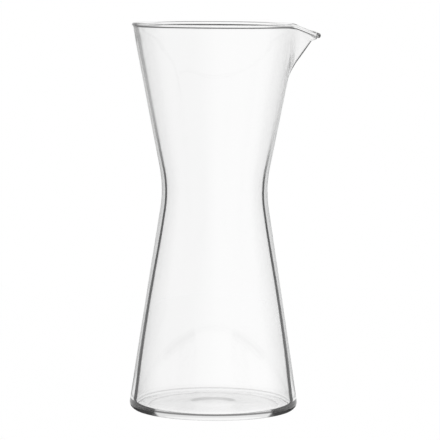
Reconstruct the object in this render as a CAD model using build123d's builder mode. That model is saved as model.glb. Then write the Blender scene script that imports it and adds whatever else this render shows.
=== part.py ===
from build123d import *
from math import asin, atan, atan2, cos, hypot, radians, sin, sqrt, tan
import os

# Glass carafe with a waist and a pulled pouring lip, blown in one piece of clear glass.
# Sizes are in millimetres. Z points up, the origin is the middle of the foot, on the table,
# and the lip points along +X.

# Outside of the blown wall. Its straight runs are given where they would meet or end.
height = 220.0
mouth_radius = 47.3
waist_radius = 29.2
waist_height = 127.0
waist_round = 60.0
foot_radius = 48.3
heel_round = 4.0

# Thickness of the glass, which blowing leaves thin at the mouth and thicker at the waist
rim_wall = 1.6
waist_wall = 2.2
foot_wall = 1.8
inner_waist_round = 55.0

# Floor, and the bevel between it and the inside of the wall
floor_thickness = 2.4
floor_bevel = 2.8

# Foot: a flat ring to stand on, round a push-up that is flat where the pontil came off.
# The floor follows the push-up, so it is as thick in the middle as over the ring.
foot_ring_width = 7.0
push_up = 3.2
pontil_mark_radius = 13.5

# Rim, fire polished to a bead that swells past the wall and leans in a little.
# Its section has eight flats, one on top, and lies within 0.09 mm of a round one.
rim_swell = 0.5
rim_lean = 0.1
bead_sides = 8

# Pouring lip, pulled out and down from the hot rim: a keel between two flanks
lip_overhang = 12.7
lip_setback = 3.5
lip_width = 35.4
lip_droop_angle = 21.9
lip_bend_round = 12.0
lip_depth = 28.0
lip_channel_radius = 1.7
lip_blend = 8.0

# Spare glass above the rim and below the root of the lip, which the cuts and blends use up
spare = 6.0

# How near an edge or a face lies to the surface that it is on
touch = 0.01

rim_bead = rim_wall + rim_swell
rim_line = height - rim_bead / 2
root_height = height - lip_depth
blank_top = height + spare
blank_root = root_height - spare
upper_angle = atan((mouth_radius - waist_radius) / (height - waist_height))
push_up_radius = foot_radius - heel_round - foot_ring_width

# Keel of the lip: a straight line in the XZ plane from the wall up to the nose
droop = radians(lip_droop_angle)
lip_start = mouth_radius - lip_setback
nose_reach = mouth_radius + lip_overhang - rim_swell / 2
nose_height = rim_line - (nose_reach - lip_start) * tan(droop)
root_radius = waist_radius + (root_height - waist_height) * tan(upper_angle)
keel_angle = atan((nose_reach - root_radius) / (nose_height - root_height))

# Flanks of the lip, looked at along the keel: each runs from the rim and touches the round nose
nose_radius = lip_channel_radius + rim_wall
keel_at_rim = nose_reach + (rim_line - nose_height) * tan(keel_angle)
root_at_rim = sqrt(mouth_radius**2 - (lip_width / 2) ** 2)
flank_run = (keel_at_rim - root_at_rim) * cos(keel_angle) - nose_radius
flank_angle = atan2(lip_width / 2, flank_run) - asin(nose_radius / hypot(lip_width / 2, flank_run))

# Half section seen from the side, drawn towards the back so that its seam lies away from the lip
half_section = Plane(origin=(0, 0, 0), x_dir=(-1, 0, 0), z_dir=(0, 1, 0))


def lip_wedge(depth):
    """Wedge that the lip fills at a depth inside the glass, with a sharp keel and a square back."""
    sharp_keel = (nose_radius - depth) / sin(flank_angle) - nose_radius
    apex = keel_at_rim - (rim_line - blank_root) * tan(keel_angle) + sharp_keel / cos(keel_angle)
    back = -mouth_radius
    half_width = (apex - back) * tan(flank_angle) * cos(keel_angle)
    with BuildPart() as wedge:
        with BuildSketch(Plane.XY.offset(blank_root)):
            with BuildLine():
                Polyline((apex, 0), (back, half_width), (back, -half_width), close=True)
            make_face()
        climb = (blank_top - blank_root) / cos(keel_angle)
        extrude(amount=climb, dir=(sin(keel_angle), 0, cos(keel_angle)))
        split(bisect_by=Plane(origin=(waist_radius, 0, 0), z_dir=(1, 0, 0)), keep=Keep.TOP)
    return wedge.part


def glass_skin(mouth, waist, foot, floor, waist_blend, depth):
    """Closed body inside one skin of the glass, with its lip, carried up past the rim."""
    lean = (mouth - waist) / (height - waist_height)

    def on_upper_wall(edge):
        middle = edge @ 0.5
        wall = waist + lean * (middle.Z - waist_height)
        between = blank_root < middle.Z < blank_top - touch
        return between and middle.X > 0 and abs(hypot(middle.X, middle.Y) - wall) < touch

    def is_keel(edge):
        middle = edge @ 0.5
        between = blank_root < middle.Z < blank_top - touch
        return between and middle.X > waist and abs(middle.Y) < touch

    with BuildPart() as skin:
        with BuildSketch(half_section):
            with BuildLine():
                neck = (waist, waist_height)
                crown = (waist + lean * (blank_top - waist_height), blank_top)
                Polyline((0, floor), (foot, floor), neck, crown, (0, blank_top), close=True)
            make_face()
            fillet(vertices().sort_by_distance(neck)[0], waist_blend)
        revolve(axis=Axis.Z)
        add(lip_wedge(depth))
        fillet(skin.edges().filter_by(is_keel), nose_radius - depth)
        fillet(skin.edges().filter_by(on_upper_wall), lip_blend + depth)
    return skin.part


def inner_skin(share):
    """Skin at a share of the way through the glass, from 0 on the outside to 1 on the inside."""
    depth = rim_wall * share
    return glass_skin(
        mouth_radius - depth / cos(upper_angle),
        waist_radius - waist_wall * share,
        foot_radius - foot_wall * share,
        floor_thickness * share,
        inner_waist_round,
        depth,
    )


def bearing(edge):
    """Angle of an edge's middle round the Z axis, from -pi at the back through 0 at the lip."""
    middle = edge @ 0.5
    return atan2(middle.Y, middle.X)


def sheared_outline(part):
    """Edges where the walls of a part meet its sheared top, in order from the back."""

    def is_top(face):
        return face.center().Z > root_height and face.normal_at().Z > sin(keel_angle)

    tops = part.faces().filter_by(is_top)
    walls = part.faces().filter_by(is_top, reverse=True)
    return (tops.edges() & walls.edges()).sort_by(bearing)


def is_turn(edge):
    """Whether an edge of the outline lies between the round rim and a straight side of the lip."""
    plain = edge.geom_type in (GeomType.CIRCLE, GeomType.LINE)
    return not plain and abs((edge @ 0.5).Y) > touch


# Push-up, standing on the table
with BuildPart() as punt:
    upwards = (Align.CENTER, Align.CENTER, Align.MIN)
    Cone(push_up_radius, pontil_mark_radius, push_up, align=upwards)

# Outside of the glass, standing on the ring round its push-up
with BuildPart() as outer:
    add(glass_skin(mouth_radius, waist_radius, foot_radius, 0, waist_round, 0))
    fillet(outer.edges().group_by(Axis.Z)[0], heel_round)
    add(punt.part, mode=Mode.SUBTRACT)

# Room for the drink
with BuildPart() as cavity:
    add(inner_skin(1))
    chamfer(cavity.edges().group_by(Axis.Z)[0], floor_bevel)
    with Locations((0, 0, floor_thickness)):
        add(punt.part, mode=Mode.SUBTRACT)

# Everything above the sheared rim, which is level and then bends down along the lip
with BuildPart() as above_rim:
    far = 2 * nose_reach
    with BuildSketch(Plane.XZ):
        with BuildLine():
            level = (-far, rim_line)
            bend = (lip_start, rim_line)
            low = (far, rim_line - (far - lip_start) * tan(droop))
            FilletPolyline(level, bend, low, radius=lip_bend_round)
            Polyline(low, (far, blank_top + far), (-far, blank_top + far), level)
        make_face()
    extrude(amount=far, both=True)

# The bead's core runs round near the middle of the wall
with BuildPart() as bead_core:
    add(inner_skin(0.5 + rim_lean / rim_wall))
    add(above_rim.part, mode=Mode.SUBTRACT)
outline = sheared_outline(bead_core.part)

# Each turn from the round rim into the lip is drawn again as one smooth curve
left_turn = outline.filter_by(lambda edge: is_turn(edge) and (edge @ 0.5).Y < 0)
right_turn = outline.filter_by(lambda edge: is_turn(edge) and (edge @ 0.5).Y > 0)
with BuildLine() as turns:
    for run in (Wire(left_turn), Wire(right_turn)):
        Spline(run @ 0, run @ 0.5, run @ 1, tangents=(run % 0, run % 1))
level_and_straight = outline.filter_by(is_turn, reverse=True)
rim_path = Wire((level_and_straight + turns.edges()).sort_by(bearing))

with BuildPart() as glass_vessel:
    add(outer.part)
    add(above_rim.part, mode=Mode.SUBTRACT)
    add(cavity.part, mode=Mode.SUBTRACT)

    # Rim, melted to a bead that runs all the way round and along the lip
    with BuildSketch(Plane(origin=rim_path @ 0, x_dir=(-1, 0, 0), z_dir=rim_path % 0)):
        flat_on_top = 90 - 180 / bead_sides
        RegularPolygon(rim_bead / 2, bead_sides, major_radius=False, rotation=flat_on_top)
    sweep(path=rim_path)

# What the carafe holds, filled to the drooping rim of the lip
with BuildPart() as drink:
    add(cavity.part)
    add(above_rim.part, mode=Mode.SUBTRACT)
    split(bisect_by=Plane.XY.offset(nose_height), keep=Keep.BOTTOM)

glass_vessel.part.label = "glass_vessel"
print(f"glass {glass_vessel.part.volume / 1000:.1f} ml, holds {drink.part.volume / 1000:.0f} ml")

os.makedirs("parts", exist_ok=True)
export_step(glass_vessel.part, "parts/glass_vessel.step")
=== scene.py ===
from math import asin, atan2, copysign, cos, exp, hypot, pi, radians, sin, sqrt, tan

import bpy
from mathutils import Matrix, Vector
from mathutils.kdtree import KDTree


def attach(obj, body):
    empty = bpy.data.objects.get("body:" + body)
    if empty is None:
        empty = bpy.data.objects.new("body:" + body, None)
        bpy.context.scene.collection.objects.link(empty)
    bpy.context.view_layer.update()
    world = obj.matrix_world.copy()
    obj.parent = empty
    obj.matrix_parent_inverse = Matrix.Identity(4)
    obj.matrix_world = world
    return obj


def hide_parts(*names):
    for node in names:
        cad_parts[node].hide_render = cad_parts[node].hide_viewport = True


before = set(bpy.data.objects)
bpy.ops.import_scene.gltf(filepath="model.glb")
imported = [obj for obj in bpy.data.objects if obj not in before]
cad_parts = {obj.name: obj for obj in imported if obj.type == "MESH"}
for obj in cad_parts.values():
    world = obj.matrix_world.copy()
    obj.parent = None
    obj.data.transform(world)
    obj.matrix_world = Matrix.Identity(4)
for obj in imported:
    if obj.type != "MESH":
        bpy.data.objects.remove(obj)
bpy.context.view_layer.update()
bpy.ops.object.select_all(action="DESELECT")


# Glass vessel: the whole carafe, one piece of clear soda glass. It is blown, so its wall swells
# and thins with height. The hot mouth is sheared, fire polished to a round bead, and pulled out
# and down into a pouring lip. The foot is pushed up inside its standing ring.

# Sizes are in millimetres, and the finished points in metres
MM = 0.001
height = 220.0
bead_radius = 1.05
rim_line = height - bead_radius
half_wall = 0.8

# Outside: a bowed lower cone, a round waist and a straight funnel
foot_radius = 48.45
lower_slope = 0.1485
lower_bow = 4.0e-5
waist_bottom = 114.88
waist_middle = 125.16
waist_top = 137.8
waist_round = 66.0
waist_centre = 96.05
mouth_radius = 47.31
upper_slope = 0.1951

# Thickness of the wall, measured level: thin at the mouth, and swelling at the waist and the foot
mouth_wall = 1.63
waist_swell = 0.78
waist_swell_height = 104
waist_swell_reach = 30
foot_swell = 0.75
foot_swell_reach = 22


def outside(z):
    """Radius of the outside at a height, without the lip."""
    if z < waist_bottom:
        return foot_radius - lower_slope * z - lower_bow * z * z
    if z < waist_top:
        return waist_centre - sqrt(waist_round**2 - (z - waist_middle) ** 2)
    return mouth_radius - upper_slope * (height - z)


def wall(z):
    """Thickness of the wall at a height."""
    at_waist = exp(-(((z - waist_swell_height) / waist_swell_reach) ** 2))
    at_foot = exp(-((z / foot_swell_reach) ** 2))
    return mouth_wall + waist_swell * at_waist + foot_swell * at_foot


# Foot: a round heel, a flat ring to stand on, and the push-up with the mark of the pontil. The
# mark is flat inside, with a soft edge.
heel_round = 4.0
heel_middle = 43.8
ring_inside = 37.3
push_up = 1.2
pontil_radius = 12.0
pontil_depth = 0.1
pontil_flatness = 6

# Floor: as thick all over, so it follows the push-up. A round corner joins it to the wall.
floor_edge = 2.4
floor_radius = 38
corner_round = 3.2


def dome(r):
    """Height of the push-up at a distance from the middle."""
    return push_up * (0.5 + 0.5 * cos(pi * min(r / ring_inside, 1)))


def mark(r):
    """Depth of the pontil's mark at a distance from the middle."""
    return pontil_depth * exp(-((r / pontil_radius) ** pontil_flatness))


# Lip: a wedge that leans outwards along its keel and is blended into the funnel
lip_start = 43.8
lip_width = 35.4
lip_turn = radians(50)
lip_blend = 3.0
droop = radians(21.9)
bend_round = 12.0
nose_round = 3.3
keel_angle = radians(35.1)
keel_at_rim = 60.55
root_at_rim = sqrt(mouth_radius**2 - (lip_width / 2) ** 2)
flank_run = (keel_at_rim - root_at_rim) * cos(keel_angle) - nose_round
flank_angle = atan2(lip_width / 2, flank_run) - asin(nose_round / hypot(lip_width / 2, flank_run))


def lip_reach(turn, z, depth):
    """How far the lip reaches from the axis, in a direction, at a height and a depth in the glass.

    A ray from the axis meets either the round nose, where a quadratic has a root, or a flat flank.
    """
    turn = abs(turn)
    if turn > lip_turn:
        return 0.0
    keel = keel_at_rim - (rim_line - z) * tan(keel_angle)
    nose = nose_round - depth
    across = sin(turn)
    along = cos(turn) * cos(keel_angle)
    shift = nose_round - keel * cos(keel_angle)
    a = along**2 + across**2
    b = along * shift
    root = b * b - a * (shift**2 - nose**2)
    if root > 0:
        reach = (-b + sqrt(root)) / a
        if reach * across < nose * cos(flank_angle):
            return reach
    spread = across * cos(flank_angle) + along * sin(flank_angle)
    return (nose - shift * sin(flank_angle)) / spread


def skin(turn, z, depth):
    """Distance from the axis to the skin at a depth in the glass, with the lip blended in."""
    blown = outside(z) - wall(z) * depth / (2 * half_wall)
    lip = lip_reach(turn, z, depth)
    lap = max(lip_blend - abs(blown - lip), 0)
    return max(blown, lip) + lap * lap / (4 * lip_blend)


def sheared(x):
    """Height of the sheared rim over a place along the X axis: level, a bend, and the droop."""
    start = lip_start - bend_round * tan(droop / 2)
    if x < start:
        return rim_line
    if x < start + bend_round * sin(droop):
        return rim_line - bend_round + sqrt(bend_round**2 - (x - start) ** 2)
    return rim_line - (x - lip_start) * tan(droop)


def rim(turn):
    """Middle of the rim's bead in a direction. Its height and its distance settle in rounds."""
    rounds = 30
    z = rim_line
    for _ in range(rounds):
        z = sheared(skin(turn, z, half_wall) * cos(turn))
    r = skin(turn, z, half_wall)
    return Vector((r * cos(turn), r * sin(turn), z))


# Nose of the lip, pulled out and down a little more and run together into a drop, and the slight
# knot on each side where the bead turns into the lip. Both swell the bead and not its foot.
nose_drop = 1.7
nose_pull = 1.7
nose_spread = 0.08
knot = 0.16
knot_turn = radians(23)
knot_spread = 0.09
swell_start = 1.6
swell_run = 1.2

# Bead's section, away from the wall's middle and up from it. Below its seam lies a slight neck.
bead_seam = 2.2
bead = [(0.57, -bead_seam), (0.55, -1.6), (0.545, -1.2)]
bead += [(bead_radius * cos(radians(a)), bead_radius * sin(radians(a))) for a in range(-54, 91, 12)]
bead += [(-away, up) for away, up in reversed(bead[:-1])]
neck = 0.23
neck_reach = 6

# Where the section has its points: underside, standing ring, plain wall, lip, corner and floor.
# The heel and the corner turn from level to the lean of the lower wall.
underside = [0, 3, 6, 8.5, 10, 11, 12, 13, 14.5, 17, 20, 23, 26, 29, 32, 34.5, 36.3]
ring = [ring_inside, ring_inside + 1, 41]
wall_heights = [7, 9, 12, 16, 21, 28, 36, 44, 52, 60, 68, 76, 84, 92, 100, 107, 112, 115, 118, 121]
wall_heights += [124, 127, 130, 133, 136, 139, 143, 150, 158, 166, 174, 180, 184]
lean_degrees = 8
lip_base = 187.0
lip_steps = 24
corner_steps = 8
corner_clearance = 0.5
floor_steps = 14

# Steps to either side and down, from which the bead's upright is found
side_step = 0.004
down_step = 0.5


def column(turn):
    """The section in one direction, from the middle of the underside over the rim to the floor."""
    east, north = cos(turn), sin(turn)
    section = [(r, dome(r) + mark(r)) for r in underside] + [(r, 0) for r in ring]
    for k in range(corner_steps + 1):
        angle = radians(-90 + (90 + lean_degrees) * k / corner_steps)
        r = heel_middle + heel_round * cos(angle)
        section.append((r, heel_round + heel_round * sin(angle)))
    section += [(outside(z), z) for z in wall_heights]
    points = [Vector((r * east, r * north, z)) for r, z in section]

    # Bead, square to the run of the rim and to the wall below it
    middle = rim(turn)
    along = (rim(turn + side_step) - rim(turn - side_step)).normalized()
    r = skin(turn, middle.z - down_step, half_wall)
    climb = middle - Vector((r * east, r * north, middle.z - down_step))
    away = along.cross(climb).normalized()
    up = away.cross(along).normalized()
    at_nose = exp(-((turn / nose_spread) ** 2))
    middle += Vector((east, north, -tan(droop))) * nose_pull * at_nose
    at_knot = knot * exp(-(((abs(turn) - knot_turn) / knot_spread) ** 2))
    middle.z -= bead_radius * at_knot
    swell = (nose_drop / bead_radius - 1) * at_nose + at_knot
    lip_points = []
    for x, z in bead:
        size = 1 + swell * min(max((z + swell_start) / swell_run, 0), 1)
        lip_points.append(middle + (away * x + up * z) * size)

    # Upper wall, pulled out where the lip is: up the outside to the bead, and down the inside
    for depth, seam in ((0.0, lip_points[0]), (2 * half_wall, lip_points[-1])):
        for n in range(lip_steps):
            z = lip_base + (seam.z - lip_base) * n / lip_steps
            thinned = neck * exp(-(((rim_line - bead_seam - z) / neck_reach) ** 2))
            r = skin(turn, z, depth + thinned * (1 - depth / half_wall))
            points.append(Vector((r * east, r * north, z)))
        if depth == 0.0:
            points += lip_points
    points[-lip_steps:] = reversed(points[-lip_steps:])

    # Inside of the wall, corner and floor
    corner_top = floor_edge + corner_round
    corner_middle = outside(corner_top) - wall(corner_top) - corner_round
    above_corner = [z for z in wall_heights if z > corner_top + corner_clearance]
    section = [(outside(z) - wall(z), z) for z in reversed(above_corner)]
    for k in range(corner_steps + 1):
        angle = radians(lean_degrees - (90 + lean_degrees) * k / corner_steps)
        r = corner_middle + corner_round * cos(angle)
        section.append((r, corner_top + corner_round * sin(angle)))
    for n in range(floor_steps, -1, -1):
        r = floor_radius * n / floor_steps
        section.append((r, floor_edge + dome(r)))
    points += [Vector((r * east, r * north, z)) for r, z in section]
    return [point * MM for point in points]


# The section is drawn point by point and spun round the axis
columns = 240
profile = column(pi)
bpy.ops.mesh.primitive_plane_add(size=MM, location=profile[0])
vessel = bpy.context.active_object
vessel.name = "glass_vessel_blown"
bpy.ops.object.transform_apply(location=True, rotation=True, scale=True)
bpy.ops.object.mode_set(mode="EDIT")
bpy.ops.mesh.merge(type="CENTER")
for here, there in zip(profile, profile[1:]):
    bpy.ops.mesh.extrude_region_move(TRANSFORM_OT_translate={"value": there - here})
bpy.ops.mesh.select_all(action="SELECT")
bpy.ops.mesh.spin(steps=columns, angle=2 * pi, center=(0, 0, 0), axis=(0, 0, 1))
bpy.ops.mesh.select_all(action="SELECT")
bpy.ops.mesh.remove_doubles(threshold=0.001 * MM)
bpy.ops.mesh.normals_make_consistent(inside=False)
bpy.ops.object.mode_set(mode="OBJECT")

# The columns crowd towards the lip, and each is pulled to its own section. Three marks say for the
# material which points lie on the wall of the cavity, on the bead, and midway round the corner,
# where it paints dark lines and shade.
crowding = 0.17
crowding_power = 2.1
turn_digits = 5
bead_points = 8
rim_top = max(range(len(profile)), key=lambda n: profile[n].z)
floor_start = len(profile) - (floor_steps + 1)
corner_line = floor_start - (corner_steps + 1) + corner_steps // 2
nearest = KDTree(len(profile))
for n, point in enumerate(profile):
    nearest.insert((-point.x, 0, point.z), n)
nearest.balance()
pulled = {}
cavity = vessel.data.attributes.new("cavity", "FLOAT", "POINT")
polished = vessel.data.attributes.new("polished", "FLOAT", "POINT")
corner = vessel.data.attributes.new("corner", "FLOAT", "POINT")
for vertex in vessel.data.vertices:
    x, y, z = vertex.co
    spun = round(atan2(y, x), turn_digits)
    if spun not in pulled:
        share = abs(spun) / pi
        crowded = crowding * share + (1 - crowding) * share**crowding_power
        pulled[spun] = column(copysign(pi * crowded, spun))
    place = nearest.find((hypot(x, y), 0, z))[1]
    vertex.co = pulled[spun][place]
    cavity.data[vertex.index].value = float(rim_top < place <= floor_start)
    polished.data[vertex.index].value = float(abs(place - rim_top) < bead_points)
    corner.data[vertex.index].value = float(place == corner_line)
bpy.ops.object.shade_smooth()


class Value:
    """An output in a node tree, or the tree alone. Arithmetic on values adds Math nodes."""

    def __init__(self, tree, socket=None):
        self.tree = tree
        self.socket = socket

    def node(self, kind, settings, inputs):
        """Add a node: its settings first, then the numbers or values of its sockets."""
        node = self.tree.nodes.new(kind)
        for name, setting in settings.items():
            setattr(node, name, setting)
        for name, value in inputs.items():
            if isinstance(value, Value):
                self.tree.links.new(value.socket, node.inputs[name])
            else:
                node.inputs[name].default_value = value
        return node

    def take(self, kind, output, settings={}, inputs={}):
        """Add a node and take one of its outputs."""
        return Value(self.tree, self.node(kind, settings, inputs).outputs[output])

    def maths(self, operation, first, second=0.0):
        """Add a Math node."""
        return self.take("ShaderNodeMath", 0, {"operation": operation}, {0: first, 1: second})

    def __add__(self, other):
        return self.maths("ADD", self, other)

    def __radd__(self, other):
        return self.maths("ADD", other, self)

    def __sub__(self, other):
        return self.maths("SUBTRACT", self, other)

    def __rsub__(self, other):
        return self.maths("SUBTRACT", other, self)

    def __mul__(self, other):
        return self.maths("MULTIPLY", self, other)

    def __rmul__(self, other):
        return self.maths("MULTIPLY", other, self)

    def __truediv__(self, other):
        return self.maths("DIVIDE", self, other)

    def __rtruediv__(self, other):
        return self.maths("DIVIDE", other, self)

    def __pow__(self, other):
        return self.maths("POWER", self, other)

    def __abs__(self):
        return self.maths("ABSOLUTE", self)

    def __gt__(self, other):
        return self.maths("GREATER_THAN", self, other)

    def step(self, start, end, low=0.0, high=1.0):
        """Smooth step from low to high as this value runs from start to end."""
        return self.take(
            "ShaderNodeMapRange",
            "Result",
            {"interpolation_type": "SMOOTHSTEP"},
            {"Value": self, "From Min": start, "From Max": end, "To Min": low, "To Max": high},
        )

    def coordinates(self):
        """The three coordinates of this place or direction."""
        spot = self.node("ShaderNodeSeparateXYZ", {}, {0: self})
        return [Value(self.tree, spot.outputs[axis]) for axis in "XYZ"]

    def reflected(self, times):
        """Whether light was reflected this many times or more."""
        return self.take("ShaderNodeLightPath", "Glossy Depth") > times - 0.5


# Clear glass
clear_glass = bpy.data.materials.new("clear_glass")
clear_glass.use_nodes = True
glass = Value(clear_glass.node_tree)
shader = clear_glass.node_tree.nodes["Principled BSDF"]
facing = glass.take("ShaderNodeLayerWeight", "Facing", {}, {"Blend": 0.5})
from_inside = glass.take("ShaderNodeNewGeometry", "Backfacing")
place = glass.take("ShaderNodeTexCoord", "Object")
x, _, z = place.coordinates()

# Light that meets the cavity near the critical angle, where Facing is 0.256, has come a long way
# through the glass. There a dark line with a faint shade beside it is painted into the glass:
# painted shade that stands in for the dark surroundings seen along the edges, not absorption by the
# glass.
# The line is weaker above the waist, where the wall is thin, and weakest on the side of the lip.
shade_strength = 0.12
in_cavity = glass.take("ShaderNodeAttribute", "Fac", {"attribute_name": "cavity"})
by_lip = z.step(0.125, 0.16) * x.step(0.0, 0.02, 0.0, 0.43)
line_strength = 1.0 - z.step(0.125, 0.175, 0.0, 0.5) - by_lip
critical = facing.step(0.262, 0.256)
line = facing.step(0.231, 0.242) * critical
shade = facing.step(0.10, 0.25) * critical * shade_strength
in_wall = in_cavity * (line * line_strength + (1.0 - line) * shade)

# Where light leaves the bead aslant, dark is painted in too, as painted shade for the dark
# surroundings seen at the bead's edges: from a larger slant on towards both sides of the mouth, and
# less of it at the nose of the lip
in_bead = glass.take("ShaderNodeAttribute", "Fac", {"attribute_name": "polished"})
slant = abs(x).step(0.033, 0.046, 0.0, 0.065)
crest = facing.step(slant + 0.09, slant + 0.15) * x.step(0.052, 0.058, 0.88, 0.35)

# The corner between wall and floor shows as a thin grey line, painted shade in the corner
corner_strength = 0.28
in_corner = glass.take("ShaderNodeAttribute", "Fac", {"attribute_name": "corner"})
# All these painted lines and shades mix a near-black matt into the clear glass
painted_edge_shade = from_inside * (in_bead * crest + (1.0 - in_bead) * in_wall)
painted_edge_shade = painted_edge_shade + in_corner * corner_strength
dark = glass.take("ShaderNodeBsdfDiffuse", "BSDF", {}, {"Color": (0.02, 0.02, 0.02, 1)})
clear = Value(glass.tree, shader.outputs["BSDF"])
surface = glass.take("ShaderNodeMixShader", "Shader", {}, {0: painted_edge_shade, 1: clear, 2: dark})

# Light caught between the floor's two faces comes out after its third reflection
caught = glass.reflected(3)
way_out = glass.take("ShaderNodeBsdfTransparent", "BSDF")
surface = glass.take("ShaderNodeMixShader", "Shader", {}, {0: caught, 1: surface, 2: way_out})
glass.tree.links.new(surface.socket, glass.tree.nodes["Material Output"].inputs["Surface"])
shader.inputs["Base Color"].default_value = (1, 1, 1, 1)
shader.inputs["Roughness"].default_value = 0.0
shader.inputs["IOR"].default_value = 1.5
shader.inputs["Transmission Weight"].default_value = 1.0

# Blowing leaves the skin faintly wavy
waves = glass.take(
    "ShaderNodeTexNoise", "Fac", {}, {"Vector": place, "Scale": 45.0, "Detail": 2.0}
)
wavy = glass.take(
    "ShaderNodeBump", "Normal", {}, {"Height": waves, "Strength": 1.0, "Distance": 0.00003}
)
glass.tree.links.new(wavy.socket, shader.inputs["Normal"])
vessel.data.materials.append(clear_glass)
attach(vessel, "root")
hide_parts("glass_vessel")


# Floor: the studio's plain white table, a round sheet painted matt. The carafe stands on it free.
bpy.ops.object.select_all(action="DESELECT")
bpy.ops.mesh.primitive_circle_add(vertices=96, radius=0.6, fill_type="NGON")
table = bpy.context.active_object
table.name = "table"
white_table = bpy.data.materials.new("white_table")
white_table.use_nodes = True
white_table.node_tree.nodes.clear()
paint = Value(white_table.node_tree)
camera_ray = paint.take("ShaderNodeLightPath", "Is Camera Ray")
glossy_ray = paint.take("ShaderNodeLightPath", "Is Glossy Ray")
clear_ray = paint.take("ShaderNodeLightPath", "Is Transmission Ray")
once, twice, thrice = (paint.reflected(times) for times in (1, 2, 3))
x, y, _ = paint.take("ShaderNodeTexCoord", "Object").coordinates()

# These levels show only in the glass, as painted reflections in the table's glow. Away from the
# foot the table is a little darker once light was reflected there, and after a second reflection it
# has the dark gaps between the four panels of the studio painted in.
room_level = 0.8
panel_count = 4
panel_edge = (-0.67, -0.31, 0.03, 0.95)
turn = paint.maths("ARCTAN2", y, x)
panels = paint.maths("COSINE", turn * panel_count).step(*panel_edge)
open_level = room_level - twice * (room_level - panels)

# Painted shadow of the foot in the table's glow, seen only in the glass: darkest under its standing
# ring, and there at both sides
reach = (x * x + y * y) ** 0.5
sideways = abs(x)
aside = sideways / reach
under_foot = reach.step(0.052, 0.049)
under_ring = reach.step(0.035, 0.038)
ring_gap = reach.step(0.0425, 0.0435, 0.78, 0.26) + reach.step(0.0452, 0.046, 0.0, 0.52)
ring_level = ring_gap * aside.step(0.72, 0.77, 1.0, 0.04)
inner_level = 0.95 - thrice * sideways.step(0.022, 0.026, 0.0, 0.8)
foot_shadow_level = inner_level + under_ring * (ring_level - inner_level)

# In the glass the left half is a little darker too, painted shade. Seen by itself, the table is
# plain
# white: nearly all of it glows, a little more than white, and the matt rest makes up for that.
glow_level = 1.026
glow_share = 0.97
level = glow_level - once * (1.0 - open_level - under_foot * (foot_shadow_level - open_level))
level = level * (1.0 - (1.0 - camera_ray) * x.step(0.012, -0.03, 0.0, 0.06))
in_glass = paint.maths("MAXIMUM", glossy_ray, clear_ray)
seen = paint.maths("MAXIMUM", camera_ray, in_glass)
matt = paint.take("ShaderNodeBsdfDiffuse", "BSDF", {}, {"Color": (0.9, 0.9, 0.9, 1)})
glow = paint.take("ShaderNodeEmission", "Emission", {}, {"Color": level, "Strength": 1.0})
mixed = paint.take("ShaderNodeMixShader", "Shader", {}, {0: seen * glow_share, 1: matt, 2: glow})
paint.node("ShaderNodeOutputMaterial", {}, {"Surface": mixed})
table.data.materials.append(white_table)


# Studio light: a white surround of panels, under a darker ceiling that shows only in the glass
studio = bpy.data.worlds.new("studio")
bpy.context.scene.world = studio
studio.use_nodes = True
studio.node_tree.nodes.clear()
sky = Value(studio.node_tree)
camera_ray = sky.take("ShaderNodeLightPath", "Is Camera Ray")
once, twice, thrice = (sky.reflected(times) for times in (1, 2, 3))
east, north, up = sky.take("ShaderNodeTexCoord", "Generated").coordinates()

# The ceiling is fainter in a reflection
above = up.step(0.22, 0.42, 0.0, 0.95)
ceiling = above - once * (above - up.step(0.40, 0.95, 0.0, 0.7))

# Gaps between the panels, and after a third reflection the dark sides of the room
turn = sky.maths("ARCTAN2", north, east)
panels = sky.maths("COSINE", turn * panel_count).step(*panel_edge)
aside = abs(east) / (east * east + north * north) ** 0.5
gap = aside.step(0.25, 0.30, 0.8, 0.04)
around = 1.0 - once * (1.0 - room_level) - twice * (room_level - panels) - thrice * (panels - gap)
level = around * (1.0 - ceiling) * east.step(-0.02, 0.008, 0.95, 1.0)
level = camera_ray + (1.0 - camera_ray) * level
glow = sky.take("ShaderNodeBackground", "Background", {}, {"Color": level, "Strength": 1.0})
sky.node("ShaderNodeOutputWorld", {}, {"Surface": glow})


# Camera: a long lens at the photograph's height and distance, with the photograph's slight roll
camera_place = (0, -1.5374, 0.2532)
camera_turn = (radians(84.61), radians(-0.38), radians(-0.082))
bpy.ops.object.camera_add(location=camera_place, rotation=camera_turn)
camera = bpy.context.active_object
camera.data.sensor_width = 36
camera.data.lens = 222.0
bpy.context.scene.camera = camera
bpy.context.scene.view_settings.view_transform = "Standard"
